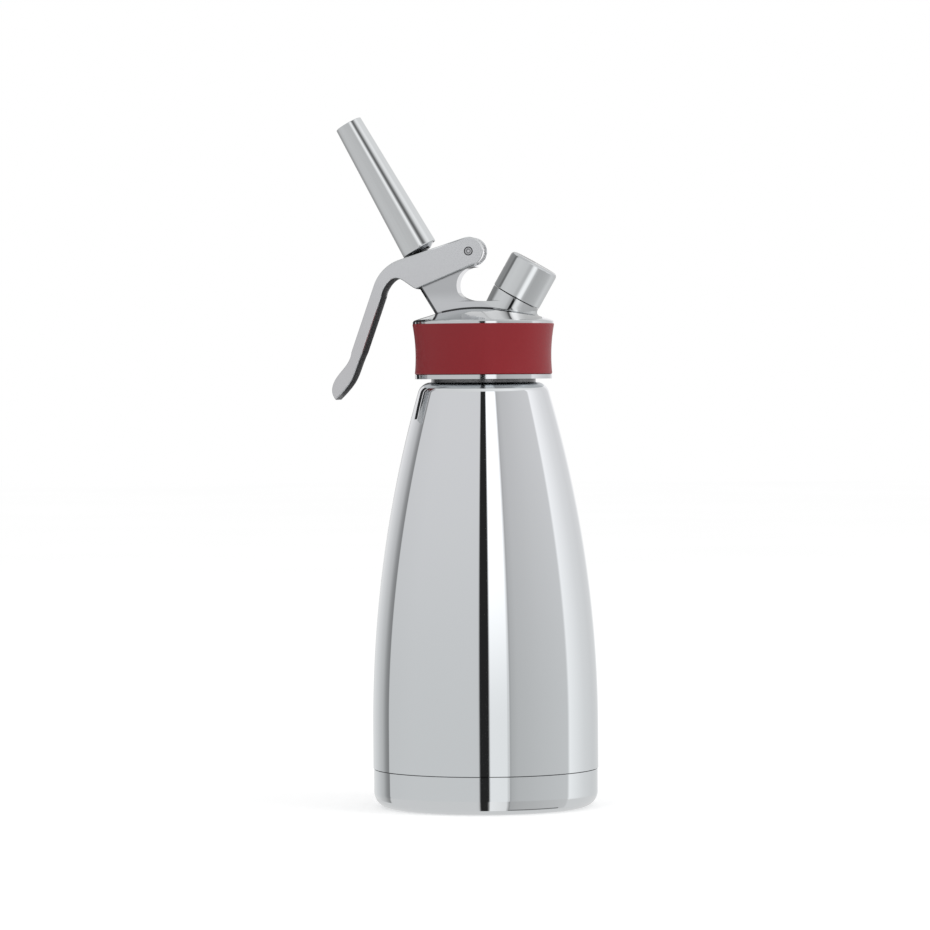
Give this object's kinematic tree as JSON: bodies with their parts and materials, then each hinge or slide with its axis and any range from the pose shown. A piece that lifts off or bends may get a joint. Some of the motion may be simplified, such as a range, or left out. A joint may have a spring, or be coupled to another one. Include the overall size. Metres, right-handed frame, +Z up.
{
  "type": "whipped cream dispenser",
  "caption": "Insulated steel bottle with a screw-on lever head, angled nozzle tube, capped charger port and red silicone grip band, for dispensing whipped cream.",
  "frame": {"origin": "centre of the foot, on the surface it stands on", "axes": "+Z up along the bottle's axis, -X towards the nozzle and the lever's handle, +X towards the charger port"},
  "size_m": [0.1159, 0.0992, 0.3039],
  "materials": {
    "polished_steel": "mirror polished stainless steel",
    "satin_steel": "plain turned stainless steel",
    "head_steel": "polished cast stainless steel",
    "lever_steel": "satin cast stainless steel",
    "tip_steel": "drawn and polished stainless steel tube",
    "dark_steel": "dark turned steel",
    "spring_steel": "bright drawn wire and ground pin",
    "red_silicone": "matt red silicone",
    "seal_silicone": "pale food silicone",
    "seal_rubber": "black rubber"
  },
  "bodies": {
    "bottle": {"outer_shell": "polished_steel", "shell_bottom": "satin_steel", "base_cup": "polished_steel", "inner_vessel": "satin_steel", "neck_ring": "satin_steel"},
    "gasket": {"head_gasket": "seal_silicone"},
    "head": {"head_body": "head_steel", "grip_band": "red_silicone", "pivot_pin": "satin_steel", "stem_ring": "seal_rubber", "valve_spring": "spring_steel", "pin_holder": "satin_steel", "piercing_pin": "spring_steel", "charger_seal": "seal_rubber", "check_sleeve": "seal_rubber"},
    "lever": {"lever": "lever_steel"},
    "piston": {"piston": "satin_steel", "valve_seal": "seal_rubber", "tip_adapter": "dark_steel"},
    "tip": {"nozzle_tip": "tip_steel"},
    "cap": {"port_cap": "head_steel"}
  },
  "joints": [
    {"name": "head_lift", "type": "slide", "parent": "bottle", "child": "gasket", "axis": [0, 0, 1], "range_m": [0, 0.024]},
    {"name": "head_turn", "type": "hinge", "parent": "gasket", "child": "head", "pos_m": [0, 0, 0.2084], "axis": [0, 0, 1], "range_deg": [0, 1440]},
    {"name": "lever_pivot", "type": "hinge", "parent": "head", "child": "lever", "pos_m": [-0.0053, 0, 0.24426], "axis": [0, -1, 0], "range_deg": [0, 8], "stiffness_Nm_per_rad": 1.1, "springref_deg": -14.9},
    {"name": "piston_slide", "type": "slide", "parent": "head", "child": "piston", "axis": [0.4924, 0, -0.8704], "range_m": [0, 0.0027], "deforming": ["valve_spring"]},
    {"name": "tip_lift", "type": "slide", "parent": "piston", "child": "tip", "axis": [-0.4924, 0, 0.8704], "range_m": [0, 0.014]},
    {"name": "cap_lift", "type": "slide", "parent": "head", "child": "cap", "axis": [0.4924, 0, 0.8704], "range_m": [0, 0.016]}
  ],
  "couplings": [
    {"joint": "head_lift", "follows": "head_turn", "m_per_rad": 0.000954},
    {"joint": "piston_slide", "follows": "lever_pivot", "m_per_rad": 0.0192}
  ]
}
